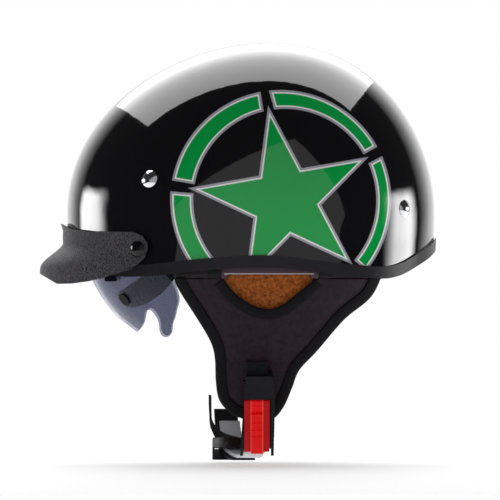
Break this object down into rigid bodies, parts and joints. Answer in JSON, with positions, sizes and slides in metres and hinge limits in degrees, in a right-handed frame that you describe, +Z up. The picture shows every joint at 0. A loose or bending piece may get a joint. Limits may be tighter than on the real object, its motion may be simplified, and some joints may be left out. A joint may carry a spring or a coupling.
{
  "type": "half shell motorcycle helmet",
  "caption": "Open half helmet with a glossy shell, detachable peak, drop-down smoked lens, leather ear pads and a ratchet-buckled chin strap.",
  "frame": {"origin": "on the middle plane at the level of the shell's edge, where the head seats", "axes": "front is -Y, the wearer's left is +X, up is +Z"},
  "size_m": [0.236, 0.3012, 0.3165],
  "materials": {
    "shell_paint": "gloss black lacquer over a moulded shell",
    "beading_rubber": "satin",
    "liner_foam": "matte black bead foam",
    "comfort_fabric": "brushed",
    "chrome": "polished",
    "steel": "plain",
    "lens_smoke": "smoked, clear",
    "black_plastic": "satin",
    "gloss_plastic": "gloss",
    "peak_plastic": "fine pebble grain",
    "pad_leather": "fine grain",
    "pad_suede": "brushed suede",
    "binding_fabric": "woven",
    "webbing": "woven",
    "lever_red": "satin",
    "tongue_plastic": "satin"
  },
  "bodies": {
    "helmet": {"outer_shell": "shell_paint", "edge_beading": "beading_rubber", "impact_liner": "liner_foam", "comfort_headband": "comfort_fabric", "crown_pad": "comfort_fabric", "shell_rivets": "chrome", "rivet_washers": "steel", "strap_hangers": "steel", "lens_brackets": "black_plastic", "lens_pivot_screws": "steel", "lens_stops": "beading_rubber", "peak_studs": "steel", "left_pad_leather": "pad_leather", "left_pad_cushion": "pad_suede", "left_edge_binding": "binding_fabric", "left_notch_binding": "binding_fabric", "pad_hanger_strips": "pad_leather", "front_strap_branches": "webbing", "rear_strap_branches": "webbing", "left_pad_webbing": "webbing", "left_buckle_loop": "webbing", "buckle_housing": "black_plastic", "buckle_anchor_bar": "steel", "buckle_lever_pin": "steel", "buckle_spring": "steel"},
    "lens_unit": {"lens": "lens_smoke", "lens_arms": "black_plastic", "lens_screws": "black_plastic", "lens_spacers": "black_plastic", "lens_seat_pads": "beading_rubber"},
    "lever": {"buckle_lever": "lever_red", "buckle_pawl": "black_plastic"},
    "right_strap": {"right_pad_leather": "pad_leather", "right_pad_cushion": "pad_suede", "right_edge_binding": "binding_fabric", "right_notch_binding": "binding_fabric", "right_pad_webbing": "webbing", "chin_webbing": "webbing", "chin_webbing_tail": "webbing", "strap_slider": "black_plastic", "buckle_tongue": "tongue_plastic"},
    "peak_unit": {"peak": "peak_plastic", "peak_snap_caps": "gloss_plastic"}
  },
  "joints": [
    {"name": "lens_tilt", "type": "hinge", "parent": "helmet", "child": "lens_unit", "pos_m": [0, -0.0293, 0.0395], "axis": [-1, 0, 0], "range_deg": [0, 38]},
    {"name": "lever_lift", "type": "hinge", "parent": "helmet", "child": "lever", "pos_m": [0.07288, 0, -0.0955], "axis": [0, -1, 0], "range_deg": [0, 35], "stiffness_Nm_per_rad": 0.02, "springref_deg": -28.65},
    {"name": "right_strap_swing", "type": "hinge", "parent": "helmet", "child": "right_strap", "pos_m": [-0.1044, 0, -0.0034], "axis": [0, 1, 0], "range_deg": [0, 30]},
    {"name": "peak_pull", "type": "slide", "parent": "helmet", "child": "peak_unit", "axis": [0, -1, 0], "range_m": [0, 0.06]}
  ]
}
